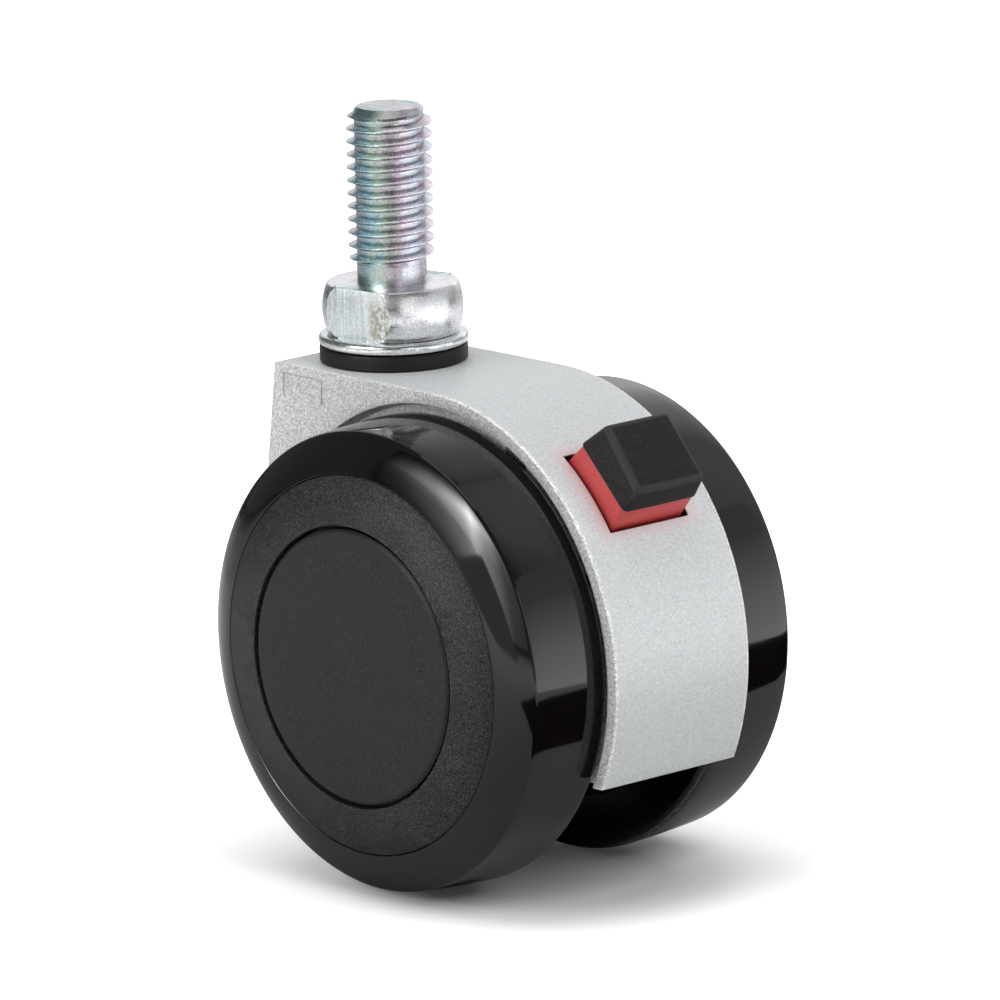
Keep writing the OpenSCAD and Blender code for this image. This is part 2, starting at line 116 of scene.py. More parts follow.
def round_corners(mesh, corners, radius, segments=4):
    """Rounds the corners of a wire outline."""
    bmesh.ops.bevel(mesh, geom=corners, offset=radius * one_mm, offset_type="OFFSET",
                    segments=segments, profile=0.5, affect="VERTICES", material=-1)


def spin_round(mesh, centre, axis, steps):
    """Turns the whole outline once round an axis and joins its two ends."""
    bmesh.ops.spin(mesh, geom=mesh.verts[:] + mesh.edges[:], cent=centre, axis=axis,
                   angle=math.tau, steps=steps, use_merge=True)
    bmesh.ops.remove_doubles(mesh, verts=mesh.verts, dist=weld)


def soften(mesh, edges, width, segments=2):
    """Rounds the given edges by a width in millimetres, and returns the faces of the rounding."""
    return bmesh.ops.bevel(mesh, geom=edges, offset=width * one_mm, offset_type="OFFSET",
                           segments=segments, profile=0.5, affect="EDGES", material=-1)["faces"]


def piece(mesh, name, body, finish, replaced, crease=32):
    """Makes a shape into a piece of the castor, which stands for its solids and rides on a body.
    Its faces shade smoothly, apart from edges sharper than crease degrees."""
    bmesh.ops.recalc_face_normals(mesh, faces=mesh.faces)
    for face in mesh.faces:
        face.smooth = True
    data = bpy.data.meshes.new(name)
    mesh.to_mesh(data)
    mesh.free()
    data.set_sharp_from_angle(angle=math.radians(crease))
    data.materials.append(finish)
    made = bpy.data.objects.new(name, data)
    bpy.context.scene.collection.objects.link(made)
    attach(made, body)
    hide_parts(*replaced)


def copied(node):
    """A copy of a solid's mesh, with its points joined and its flat faces whole."""
    mesh = bmesh.new()
    mesh.from_mesh(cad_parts[node].data)
    bmesh.ops.remove_doubles(mesh, verts=mesh.verts, dist=10 * weld)
    bmesh.ops.dissolve_limit(mesh, angle_limit=math.radians(0.5), verts=mesh.verts, edges=mesh.edges)
    return mesh


class Shade:
    """A number in a material. Arithmetic on it adds the nodes that work it out."""

    def __init__(self, finish, socket):
        self.finish, self.socket = finish, socket

    def worked(self, operation, first, second):
        """The outcome of one Math node."""
        return self.finish.node("ShaderNodeMath", {"operation": operation}, {0: first, 1: second})

    def __add__(self, other):
        return self.worked("ADD", self, other)

    def __sub__(self, other):
        return self.worked("SUBTRACT", self, other)

    def __rsub__(self, other):
        return self.worked("SUBTRACT", other, self)

    def __mul__(self, other):
        return self.worked("MULTIPLY", self, other)

    def __gt__(self, other):
        return self.worked("GREATER_THAN", self, other)

    def __lt__(self, other):
        return self.worked("LESS_THAN", self, other)

    def __abs__(self):
        return self.worked("ABSOLUTE", self, 0)

    __radd__ = __add__
    __rmul__ = __mul__


class Finish:
    """The finish of a piece: a material, and the nodes that vary it over the surface."""

    def __init__(self, name, constants):
        self.material = bpy.data.materials.new(name)
        self.material.use_nodes = True
        self.shader = self.material.node_tree.nodes["Principled BSDF"]
        for socket, value in constants.items():
            self.shader.inputs[socket].default_value = value
        self.place = self.node("ShaderNodeTexCoord", {}, {}, "Object")

    def node(self, kind, settings, inputs, output=0):
        """Adds a node: its settings are made first, then its sockets take values or links."""
        made = self.material.node_tree.nodes.new(kind)
        for setting, value in settings.items():
            if setting == "stops":
                elements = made.color_ramp.elements
                elements.remove(elements[1])
                elements[0].position, elements[0].color = value[0]
                for position, colour in value[1:]:
                    elements.new(position).color = colour
            else:
                setattr(made, setting, value)
        for socket, value in inputs.items():
            if isinstance(value, Shade):
                self.material.node_tree.links.new(value.socket, made.inputs[socket])
            else:
                made.inputs[socket].default_value = value
        return Shade(self, made.outputs[output])

    def noise(self, grain_mm, detail=2.0, place=None):
        """Cloudy noise whose spots are about grain_mm across."""
        return self.node("ShaderNodeTexNoise", {},
                         {"Vector": place or self.place, "Scale": mm_per_m / grain_mm, "Detail": detail})

    def flakes(self, grain_mm, output="Distance"):
        """Cells about grain_mm across, as their distance or their random colour."""
        return self.node("ShaderNodeTexVoronoi", {},
                         {"Vector": self.place, "Scale": mm_per_m / grain_mm}, output)

    def stretched(self, factors, turn=(0, 0, 0)):
        """The piece's coordinates, turned and then scaled along each axis."""
        turned = self.node("ShaderNodeMapping", {}, {"Vector": self.place, "Rotation": turn})
        return self.node("ShaderNodeMapping", {}, {"Vector": turned, "Scale": factors})

    def part(self, axis, place=None):
        """One coordinate, X, Y or Z, in millimetres."""
        split = self.node("ShaderNodeSeparateXYZ", {}, {"Vector": place or self.place}, axis)
        return split * mm_per_m

    def ramp(self, value, stops):
        """A colour that follows a value; stops are pairs of place and colour."""
        return self.node("ShaderNodeValToRGB", {"stops": stops}, {"Fac": value})

    def level(self, value, low, high, out_low=0.0, out_high=1.0):
        """Carries a range of values onto another, clamped at its ends."""
        return self.node("ShaderNodeMapRange", {"clamp": True},
                         {"Value": value, "From Min": low, "From Max": high,
                          "To Min": out_low, "To Max": out_high})

    def blended(self, factor, first, second, mode="MIX"):
        """The first colour, with as much of the second as the factor says."""
        return self.node("ShaderNodeMix", {"data_type": "RGBA", "blend_type": mode, "clamp_factor": True},
                         {0: factor, 6: first, 7: second}, 2)

    def relief(self, height, depth_mm):
        """Bumps of depth_mm where height goes from 0 to 1."""
        return self.node("ShaderNodeBump", {},
                         {"Strength": 1.0, "Distance": depth_mm * one_mm, "Height": height})

    def feed(self, sockets):
        """Links values into the shader's own sockets."""
        for socket, value in sockets.items():
            self.material.node_tree.links.new(value.socket, self.shader.inputs[socket])
        return self.material


def plated(name, rough, darker=1.0, film=0.0):
    """Bright zinc plate over turned steel. Its film's tint changes round the stem and clouds over it,
    film says how strongly, and the collar's milled flats are streaked, with one soiled patch."""
    finish = Finish(name, {"Metallic": 1.0})
    east, north, height = finish.part("X"), finish.part("Y"), finish.part("Z")
    bearing = finish.node("ShaderNodeMath", {"operation": "ARCTAN2"}, {0: north, 1: east}) * (1 / math.pi)
    cloud_shift, tint_start = 0.6, 1.44
    shifted = bearing + finish.noise(2.2, 3.0) * cloud_shift + tint_start
    band = finish.node("ShaderNodeMath", {"operation": "FRACT"}, {0: shifted})
    tint = finish.ramp(band, [(0.0, zinc_lilac), (0.12, zinc_teal), (0.28, zinc_teal), (0.40, zinc_green),
                              (0.60, zinc_rose), (0.74, zinc_ice), (0.88, zinc_rose), (1.0, zinc_lilac)])
    tinted = finish.blended(finish.level(height, -0.3, 0.6, 0.25 * film, film), zinc_white, tint)
    speck = finish.level(finish.noise(0.22, 3.0), 0.32, 0.62, 0.72 * darker, darker)
    turned = finish.stretched((1, 1, 1), (0, 0, -flat_turn))
    along_flat, across_flat = finish.part("X", turned), finish.part("Y", turned)
    on_flat = (abs(across_flat) > flat_reach - flat_edge / 2) * (height > -collar_h) * (height < 0)
    milling = finish.noise(0.26, 2.0, finish.stretched((1.0, 1.0, 0.03), (0, 0, -flat_turn)))
    streak = 1 - on_flat * finish.level(milling, 0.35, 0.65, 0.24, 0.0)
    turning = finish.noise(0.12, 2.0, finish.stretched((0.15, 0.15, 1.0)))
    reach = finish.node("ShaderNodeMath", {"operation": "SQRT"}, {0: east * east + north * north})
    # The thread is painted darker in its roots and lighter on its crests: painted shade and painted
    # highlight.
    root_shade_crest_highlight = finish.level(reach, thread_root_r + 0.05, thread_r - 0.1, 1 - 0.22 * film, 1 + 0.2 * film)
    tone = speck * streak * root_shade_crest_highlight
    grey_tone = finish.node("ShaderNodeCombineColor", {}, {0: tone, 1: tone, 2: tone})
    toned = finish.blended(1.0, tinted, grey_tone, "MULTIPLY")
    patch = on_flat * (finish.level(along_flat, 1.5, 2.3) * finish.level(height, -0.9, -1.6)
                       * finish.level(height, -5.7, -5.2) * film)
    soiled = finish.blended(patch * finish.level(finish.noise(0.5, 4.0), 0.40, 0.55), toned, soil_brown)
    marks = turning * (1 - on_flat) + milling * on_flat
    shine = finish.level(finish.noise(1.2, 3.0) * 0.6 + marks * 0.4, 0.35, 0.65, rough - 0.06, rough + 0.1)
    return finish.feed({"Base Color": soiled, "Roughness": shine + on_flat * 0.12,
                        "Normal": finish.relief(marks, 0.006)})


zinc = plated("zinc_plate", rough=0.25, film=0.9)

body_mesh = bmesh.new()
shank_side = [(0, 0, shank_end), (shank_r, 0, shank_end), (shank_r, 0, clip_low), (groove_r, 0, clip_low),
              (groove_r, 0, clip_high), (shank_r, 0, clip_high), (shank_r, 0, -collar_h)]
barrel = [(collar_r - collar_bulge * (2 * step / bulge_steps) ** 2, 0, (step / bulge_steps - 0.5) * collar_h)
          for step in range(-bulge_steps // 2, bulge_steps // 2 + 1)]
neck_side = [(neck_r, 0, 0), (neck_r, 0, neck_l), (0, 0, neck_l)]
outline = wire(body_mesh, shank_side + barrel + neck_side)
collar_foot, collar_top = outline[len(shank_side)], outline[-len(neck_side) - 1]
round_corners(body_mesh, [outline[1]], shank_round)
round_corners(body_mesh, [collar_foot, collar_top], collar_round)
spin_round(body_mesh, (0, 0, 0), (0, 0, 1), turn_steps)
flat_normal = Vector((-math.sin(flat_turn), math.cos(flat_turn), 0))
for side in (-1, 1):
    cut = bmesh.ops.bisect_plane(body_mesh, geom=body_mesh.verts[:] + body_mesh.edges[:] + body_mesh.faces[:],
                                 dist=weld, plane_co=flat_normal * side * flat_reach * one_mm,
                                 plane_no=flat_normal * side, clear_outer=True)
    rim = [part for part in cut["geom_cut"] if isinstance(part, bmesh.types.BMEdge)]
    bmesh.ops.contextual_create(body_mesh, geom=rim)
    soften(body_mesh, rim, flat_edge)

thread_mesh = bmesh.new()
rising = [(thread_root_r, 0), (thread_root_r + root_round, half_root),
          (thread_r - crest_drop, half_root + flank), (thread_r, half_root + flank + crest_round)]
falling = [(radius, thread_pitch - height) for radius, height in reversed(rising)]
wire(thread_mesh, [(radius, 0, height) for radius, height in rising + falling])
bmesh.ops.rotate(thread_mesh, verts=thread_mesh.verts, cent=(0, 0, 0),
                 matrix=Matrix.Rotation(math.tau * thread_start_turn, 3, "Z"))
bmesh.ops.translate(thread_mesh, verts=thread_mesh.verts, vec=mm(0, 0, thread_foot))
bmesh.ops.spin(thread_mesh, geom=thread_mesh.verts[:] + thread_mesh.edges[:], cent=(0, 0, 0), axis=(0, 0, 1),
               dvec=mm(0, 0, thread_pitch / turn_steps), angle=math.tau * thread_turns,
               steps=turn_steps * thread_turns, use_merge=False)
bmesh.ops.remove_doubles(thread_mesh, verts=thread_mesh.verts, dist=10 * weld)
least_r = 1.0
for vertex in thread_mesh.verts:
    height = vertex.co.z * mm_per_m
    reach = vertex.co.xy.length * mm_per_m
    run_out = max(0.0, (height - neck_l) * (thread_r - neck_r) / neck_flare)
    limit = min(neck_r - thread_sink + run_out, thread_r - max(0.0, height - stud_l + stud_tip))
    if reach > limit:
        vertex.co.xy *= max(limit, least_r) / reach
end_overlap, end_reach = 0.05, 0.01
for end, outward in ((neck_l - end_overlap, -1), (stud_l, 1)):
    bmesh.ops.bisect_plane(thread_mesh,
                           geom=thread_mesh.verts[:] + thread_mesh.edges[:] + thread_mesh.faces[:],
                           dist=weld, plane_co=mm(0, 0, end), plane_no=(0, 0, outward), clear_outer=True)
    end_edges = [edge for edge in thread_mesh.edges
                 if edge.is_boundary and abs(edge.verts[0].co.z * mm_per_m - end) < end_reach]
    bmesh.ops.contextual_create(thread_mesh, geom=end_edges)
thread_data = bpy.data.meshes.new("thread")
thread_mesh.to_mesh(thread_data)
thread_mesh.free()
body_mesh.from_mesh(thread_data)
bpy.data.meshes.remove(thread_data)
piece(body_mesh, "stem", "stem", zinc, ["threaded_stem"])

# Washer: a stamped steel ring, zinc plated, with a rounded rim. It lies free on the shank between
# the collar and the swivel ring, which it keeps from wear.
washer_r = 8.55
washer_low, washer_high = -7.2, -5.9
washer_round = 0.5
ring_steps = 128
washer_mesh = bmesh.new()
outline = wire(washer_mesh, [(shank_r, 0, washer_low), (washer_r, 0, washer_low), (washer_r, 0, washer_high),
                             (shank_r, 0, washer_high)])
washer_mesh.edges.new((outline[-1], outline[0]))
round_corners(washer_mesh, outline[1:3], washer_round, 6)
spin_round(washer_mesh, (0, 0, 0), (0, 0, 1), ring_steps)
piece(washer_mesh, "washer", "stem", plated("washer_plate", rough=0.2), ["stem_washer"])

# Swivel ring: a black moulded ring under the washer, one piece with the upper bearing sleeve
# that is pressed into the hood.
ring_r = 8.5
ring_round = 0.25
ring_low, ring_high = -9.1, -7.25
sleeve_r = 5.6
sleeve_end = -17.1
bore_r = 4.05
ring_mesh = bmesh.new()
outline = wire(ring_mesh, [(bore_r, 0, sleeve_end), (sleeve_r, 0, sleeve_end), (sleeve_r, 0, ring_low),
                           (ring_r, 0, ring_low), (ring_r, 0, ring_high), (bore_r, 0, ring_high)])
ring_mesh.edges.new((outline[-1], outline[0]))
round_corners(ring_mesh, [outline[3], outline[4]], ring_round)
spin_round(ring_mesh, (0, 0, 0), (0, 0, 1), ring_steps)
smooth_black = (0.004, 0.004, 0.004, 1)
smooth_rough = 0.15
wear_and_sheen_grey = (0.024, 0.023, 0.024, 1)


def moulded(name, colour, rough, grain_mm, depth_mm, speckle=0.0, inner=0.0):
    """A matte moulding: one colour, a fine grain, and lighter grains as strong as speckle says. Nearer to the
    mid-plane than inner, in millimetres, it is smooth, black and glossy; where that lies in a gap, the black
    is painted shade. Where the piece's vertices carry the edge attribute, it is painted lighter: partly wear,
    partly painted sheen."""
    finish = Finish(name, {"Specular IOR Level": 0.28})
    grain = finish.noise(grain_mm, 3.0)
    light = finish.level(grain, 0.42, 0.72) * finish.level(finish.noise(6.0, 2.0), 0.3, 0.7, 0.85, 1.15)
    base = [channel * (1 - 0.6 * speckle) for channel in colour]
    bright = [channel * (1 + 2.5 * speckle) for channel in colour]
    grained = finish.blended(light, (*base, 1), (*bright, 1))
    worn = finish.node("ShaderNodeAttribute", {"attribute_name": "worn"}, {}, "Fac")
    wear_and_sheen_tone = finish.blended(worn * finish.level(grain, 0.3, 0.7, 0.5, 1.0), grained, wear_and_sheen_grey)
    face = abs(finish.part("Y")) > inner
    matte = finish.level(grain, 0.3, 0.7, rough - 0.08, rough + 0.08)
    return finish.feed({"Base Color": finish.blended(face, smooth_black, wear_and_sheen_tone),
                        "Roughness": matte * face + smooth_rough * (1 - face),
                        "Normal": finish.relief(grain * face, depth_mm)})


black_plastic = moulded("black_plastic", (0.0045, 0.004, 0.004), rough=0.45, grain_mm=0.3,
                        depth_mm=0.015, speckle=0.1)
piece(ring_mesh, "swivel_ring_moulding", "hood", black_plastic, ["swivel_ring"])

# Hood: a zinc die casting in one piece, a band round the wheels with recessed side walls, painted a satin
# silver with a fine grain. The grain is coarser and the grey lighter on its side faces, edges and recessed
# walls, where the lighter tone is painted sheen. Its sharp edges are broken.
hood_half = 10.4
wall_half = 8.0
band_r = 29.5
skin = 0.12
sheen_w, sheen_fade = 0.45, 0.15
seat_r = 7.5
edge_w = 0.18
sharp_angle = math.radians(40)
hair = 1e-5
lever_turn = math.radians(44)
slot_half, slot_reach = 6.4, 5.2
axle_at = mm(17, 0, -38.6)
hood_mesh = copied("hood")
hood_low, hood_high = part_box("hood")


def on_skin(vertex):
    """True for a vertex on the outside of the band."""
    side = abs(vertex.co.y) > hood_half * one_mm - 2 * hair
    top = vertex.co.z > hood_high.z - hair
    tail = vertex.co.z < hood_low.z + hair
    return side or top or tail or (vertex.co - axle_at).xz.length > band_r * one_mm - 5 * hair


def clear_of_seat(vertex):
    """True for a vertex that isn't on the seat of the swivel ring, in the middle of the top."""
    return vertex.co.xy.length > seat_r * one_mm or vertex.co.z < hood_high.z - 10 * hair


def sharp_edges(mesh, wanted):
    """The mesh's sharp edges whose two vertices are both wanted."""
    return [edge for edge in mesh.edges if len(edge.link_faces) == 2
            and edge.calc_face_angle() > sharp_angle and all(wanted(vertex) for vertex in edge.verts)]


soften(hood_mesh, sharp_edges(hood_mesh, lambda vertex: on_skin(vertex) and clear_of_seat(vertex)), edge_w)

paint = Finish("silver_paint", {})
fine = paint.noise(0.13, 1.0)
spark = paint.part("X", paint.flakes(0.13, "Color")) * one_mm
shade = paint.level(spark * 0.35 + fine * 0.65, 0.3, 0.7)
silver_tone = paint.ramp(shade, [(0.0, (0.36, 0.375, 0.385, 1)), (0.5, (0.45, 0.465, 0.475, 1)),
                                 (1.0, (0.55, 0.56, 0.565, 1))])
out_of_plane = abs(paint.part("Y"))
back_x, back_z = paint.part("X") - axle_at.x * mm_per_m, paint.part("Z") - axle_at.z * mm_per_m
off_axle = back_x * back_x + back_z * back_z
in_band = off_axle < (band_r - skin) ** 2
# The side faces, the band's edges and the recessed side walls take a coarser grain in a lighter grey. The
# grain is the paint's; the lighter tone is painted sheen of grazing light.
side_sheen = (paint.level(out_of_plane, hood_half - sheen_w, hood_half - sheen_w + sheen_fade)
            + (out_of_plane > wall_half) * in_band)
edge_spark = paint.part("Y", paint.flakes(0.17, "Color")) * one_mm
rough_grain = paint.level(paint.noise(0.14, 3.0) * 0.6 + edge_spark * 0.4, 0.3, 0.7)
sheen_grey_tone = paint.ramp(rough_grain, [(0.0, (0.36, 0.36, 0.36, 1)), (0.5, (0.53, 0.53, 0.53, 1)),
                                     (1.0, (0.74, 0.74, 0.74, 1))])
toned = paint.blended(side_sheen, silver_tone, sheen_grey_tone)
pit_grey = (0.16, 0.16, 0.16, 1)
# Painted red light, thrown back by the lever onto the silver round its slot.
lever_glow = (0.60, 0.30, 0.30, 1)
# Painted shade: a near black for the inside of the hood, between its recessed side walls.
inside_shade_grey = (0.03, 0.03, 0.03, 1)
pitted = paint.blended(paint.flakes(5.5) < 0.018, toned, pit_grey)
up_band = back_z * math.cos(lever_turn) - back_x * math.sin(lever_turn)
off_slot = paint.node("ShaderNodeMath", {"operation": "MAXIMUM"},
                      {0: out_of_plane - slot_half, 1: abs(up_band) - slot_reach})
# Round the lever's slot, outside the band, the silver is tinted red as painted light bounced off the lever.
red_glow = paint.level(off_slot, 0.0, 1.8, 0.34, 0.0) * (1 - in_band)
reddened = paint.blended(red_glow, pitted, lever_glow)
# Inside the band, between the recessed side walls, the paint is darkened to painted shade.
painted_inside_shade = (out_of_plane < wall_half) * in_band
silver = paint.feed({"Base Color": paint.blended(painted_inside_shade, reddened, inside_shade_grey),
                     "Metallic": paint.level(spark, 0.2, 0.9, 0.15, 0.35),
                     "Roughness": paint.level(fine, 0.3, 0.7, 0.42, 0.52),
                     "Normal": paint.relief(fine * 0.7 + spark * 0.3, 0.008)})
piece(hood_mesh, "hood_casting", "hood", silver, ["hood"], crease=25)

# Bearings and small steel: the lower swivel bush, the wheel bushes, the clip on the shank, the
# axle with its push-on nuts, the lever's pin, its bar and the leaf spring. They keep their solids.
bearing_plastic = moulded("bearing_plastic", (0.68, 0.66, 0.59), rough=0.45, grain_mm=0.6,
                          depth_mm=0.01, speckle=0.02)
spring_steel = plated("spring_steel", rough=0.36, darker=0.45)
steel_bar = plated("bar_steel", rough=0.3, darker=0.9)
for node, kept in (("swivel_bush", bearing_plastic), ("wheel_bush_left", bearing_plastic),
                   ("wheel_bush_right", bearing_plastic), ("stem_clip", spring_steel),
                   ("axle_nut_left", spring_steel), ("axle_nut_right", spring_steel),
                   ("detent_spring", spring_steel), ("axle", steel_bar), ("lever_pin", steel_bar),
                   ("brake_bar", steel_bar)):
    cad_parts[node].material_slots[0].material = kept

# Brake lever: one red moulding, a solid head in the hood's slot over two cheeks. Its head has
# lightly rounded edges, and a black rubber cap is pushed over it.
red_finish = Finish("red_plastic", {})
red_cloud = red_finish.noise(0.35, 3.0)
red_tone = red_finish.ramp(red_cloud, [(0.3, (0.39, 0.034, 0.033, 1)), (0.7, (0.48, 0.050, 0.047, 1))])
red = red_finish.feed({"Base Color": red_tone, "Roughness": red_finish.level(red_cloud, 0.3, 0.7, 0.38, 0.5),
                       "Normal": red_finish.relief(red_cloud, 0.01)})
lever_mesh = copied("brake_lever")
head_depth = 3.2
head_side = 5.5
head_round = 0.3
out_of_band = Vector((math.cos(lever_turn), 0, math.sin(lever_turn)))


def on_head(vertex):
    """True for a vertex on the sides of the lever's head."""
    out = (vertex.co - axle_at).dot(out_of_band)
    return out > (band_r - head_depth) * one_mm and abs(vertex.co.y) > head_side * one_mm


soften(lever_mesh, sharp_edges(lever_mesh, on_head), head_round, 3)
piece(lever_mesh, "lever", "lever", red, ["brake_lever"], crease=35)

# Rubber cap: a black moulding that leans back and rises towards its upper end, with soft edges that are
# painted lighter, partly as wear and partly as painted sheen, and a pocket that takes the lever's tenon.
cap_foot = band_r + 2.55
cap_top_low, cap_top_high = 3.2, 4.0
cap_low, cap_high = -4.8, 4.95
cap_half = 5.75
cap_lean = 0.45
cap_round = 0.75
pocket_wall = 1.25
pocket_depth = 2.0
cap_mesh = bmesh.new()
worn = cap_mesh.verts.layers.float.new("worn")
bmesh.ops.create_cube(cap_mesh, size=1.0)
for vertex in cap_mesh.verts:
    upper = vertex.co.z > 0
    outer = vertex.co.x > 0
    rise = (cap_top_high if upper else cap_top_low) if outer else 0.0
    pulled = cap_lean if outer else 0.0
    along = cap_high - pulled if upper else cap_low + pulled
    wide = cap_half - pulled - (cap_lean if outer and upper else 0.0)
    vertex.co = mm(cap_foot + rise, wide if vertex.co.y > 0 else -wide, along)


def at_foot(part):
    """True for an edge or face that lies in the cap's open foot."""
    return all(vertex.co.x < cap_foot * one_mm + 5 * hair for vertex in part.verts)


rounding = set(soften(cap_mesh, [edge for edge in cap_mesh.edges if not at_foot(edge)], cap_round, 5))
# The vertices of the rounded edges are marked for the finish, which paints them lighter: wear and painted
# sheen.
for vertex in cap_mesh.verts:
    vertex[worn] = float(all(face in rounding for face in vertex.link_faces))
foot = [face for face in cap_mesh.faces if at_foot(face)]
bmesh.ops.inset_region(cap_mesh, faces=foot, thickness=pocket_wall * one_mm, use_even_offset=True)
pocket = bmesh.ops.extrude_discrete_faces(cap_mesh, faces=foot)["faces"]
bmesh.ops.translate(cap_mesh, verts=[vertex for face in pocket for vertex in face.verts],
                    vec=mm(pocket_depth, 0, 0))
bmesh.ops.rotate(cap_mesh, verts=cap_mesh.verts, cent=(0, 0, 0), matrix=Matrix.Rotation(-lever_turn, 3, "Y"))
bmesh.ops.translate(cap_mesh, verts=cap_mesh.verts, vec=axle_at)
cap_rubber = moulded("cap_rubber", (0.0055, 0.0049, 0.005), rough=0.62, grain_mm=0.2,
                     depth_mm=0.07, speckle=1.0)
piece(cap_mesh, "lever_cap_rubber", "lever", cap_rubber, ["lever_cap"], crease=50)
for node in ("brake_shoe_left", "brake_shoe_right"):
    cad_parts[node].material_slots[0].material = cap_rubber

# Treads: a polished black tyre moulded over each wheel, with a nearly flat running face, a sloped
# shoulder and a lip that ends at the wheel's face.
wheel_steps = 192
tread_in, tread_edge, tread_out = 9.2, 19.75, 22.0
tread_r, tread_edge_r = 27.0, 26.4
face_r = 21.8
rim_r = 22.7
lip = 1.4

gloss = Finish("polished_tread", {"Specular IOR Level": 0.5})
scuff = gloss.noise(2.5, 3.0)
tyre_black = (0.0028, 0.0022, 0.002, 1)
flash_grey = (0.06, 0.055, 0.055, 1)
tread_x, tread_z = gloss.part("X") - axle_at.x * mm_per_m, gloss.part("Z") - axle_at.z * mm_per_m
inner_band = (gloss.level(abs(gloss.part("Y")), tread_in + 0.9, tread_in + 0.5)
              * (tread_x * tread_x + tread_z * tread_z > (tread_r - 0.4) ** 2))
flash = gloss.level(gloss.noise(0.25, 4.0) * inner_band, 0.44, 0.56)
dust = gloss.flakes(4.5) < 0.012
polished = gloss.feed({"Base Color": gloss.blended(flash + dust, tyre_black, flash_grey),
                       "Roughness": gloss.level(scuff, 0.3, 0.7, 0.05, 0.09) + inner_band * 0.3,
                       "Normal": gloss.relief(gloss.noise(0.5, 3.0) * inner_band, 0.02)})

crown = (26.82, 14.9)
shoulder = [(25.0, 20.7), (23.7, 21.37)]
tread_outline = [(rim_r, tread_in), (tread_r, tread_in), crown, (tread_edge_r, tread_edge), *shoulder,
                 (face_r, tread_out), (face_r, tread_out - lip), (rim_r, tread_out - lip)]
tread_rounding = [(1, 1.0, 6), (2, 3.0, 4), (3, 0.28, 4), (4, 0.7, 3), (5, 0.7, 3), (6, 0.15, 3)]
for side, hand in ((-1, "left"), (1, "right")):
    tread_mesh = bmesh.new()
    corners = wire(tread_mesh, [(axle_at.x * mm_per_m + radius, side * station, axle_at.z * mm_per_m)
                                for radius, station in tread_outline])
    tread_mesh.edges.new((corners[-1], corners[0]))
    for corner, radius, segments in tread_rounding:
        round_corners(tread_mesh, [corners[corner]], radius, segments)
    spin_round(tread_mesh, axle_at, (0, 1, 0), wheel_steps)
    piece(tread_mesh, f"tyre_{hand}", f"wheel_{hand}", polished, [f"tread_{hand}"])

# Wheels: each is moulded in a grained charcoal plastic, with a rim, a web, a hub, a drum for the
# brake and ribs between them. A smooth hub cap snaps into its face with a narrow gap all round,
# and a finer gap parts the wheel's face from the tread.
cap_gap = 0.2
rim_gap = 0.12
rim_depth, rim_w = 0.7, 0.3
face_depth = 0.5
cap_wall_top = 23.0
# Below their faces, the wheel's core and the hub cap's side wall are smooth and black. In the gap round the
# cap and in the groove at the tread, this black is painted shade.
moulded_face = moulded("wheel_plastic", (0.0145, 0.0127, 0.014), rough=0.5, grain_mm=0.15,
                       depth_mm=0.06, speckle=1.3, inner=tread_out - face_depth)
smooth_cap = moulded("cap_plastic", (0.0132, 0.0114, 0.0128), rough=0.46, grain_mm=0.18,
                     depth_mm=0.03, speckle=0.5, inner=cap_wall_top)


def drawn_in(mesh, vertices, radius, gap):
    """Draws vertices in towards the axle, by gap millimetres at the given radius."""
    shrink = 1 - gap / radius
    bmesh.ops.scale(mesh, verts=vertices, vec=(shrink, 1, shrink), space=Matrix.Translation(-axle_at))


for hand in ("left", "right"):
    for node, slot, finish, width, gap in (("wheel_core", "wheel_plastic", moulded_face, 0.14, 0.0),
                                           ("hub_cap", "cap_plastic", smooth_cap, 0.18, cap_gap)):
        mesh = copied(f"{node}_{hand}")
        top = max(abs(vertex.co.y) for vertex in mesh.verts)
        widest = max((vertex.co - axle_at).xz.length for vertex in mesh.verts) * mm_per_m
        drawn_in(mesh, mesh.verts, widest, gap)
        face_rim = [vertex for vertex in mesh.verts if abs(vertex.co.y) > (tread_out - rim_depth) * one_mm
                    and (vertex.co - axle_at).xz.length > (face_r - rim_w) * one_mm]
        drawn_in(mesh, face_rim, face_r, rim_gap)
        outer_edges = sharp_edges(mesh, lambda vertex: abs(vertex.co.y) > top - rim_w * one_mm)
        soften(mesh, outer_edges, width, 3)
        piece(mesh, f"{node}_{hand}_moulding", f"wheel_{hand}", finish, [f"{node}_{hand}"], crease=30)

# Studio: a white floor that the wheels stand on, and three soft lamps. Five glowing panels stand
# round the castor and show only in reflections. So do the cards: black ones on the floor, of which
# the right one is the dark bar in the treads, and pale ones in front and overhead.
floor_z = cad_low[2]
axle_foot = Vector((axle_at.x, axle_at.y, 0))


def staged(name, mesh, material, shown=True):
    """Puts a stage piece in the scene; one that isn't shown only shows in reflections."""
    data = bpy.data.meshes.new(name)
    mesh.to_mesh(data)
    mesh.free()
    data.materials.append(material)
    made = bpy.data.objects.new(name, data)
    bpy.context.scene.collection.objects.link(made)
    made.visible_camera = shown
    made.visible_shadow = shown
    made.visible_diffuse = shown


def grey(*stops):
    """Stops of a ramp of greys, as pairs of place and brightness."""
    return [(place, (light, light, light, 1)) for place, light in stops]


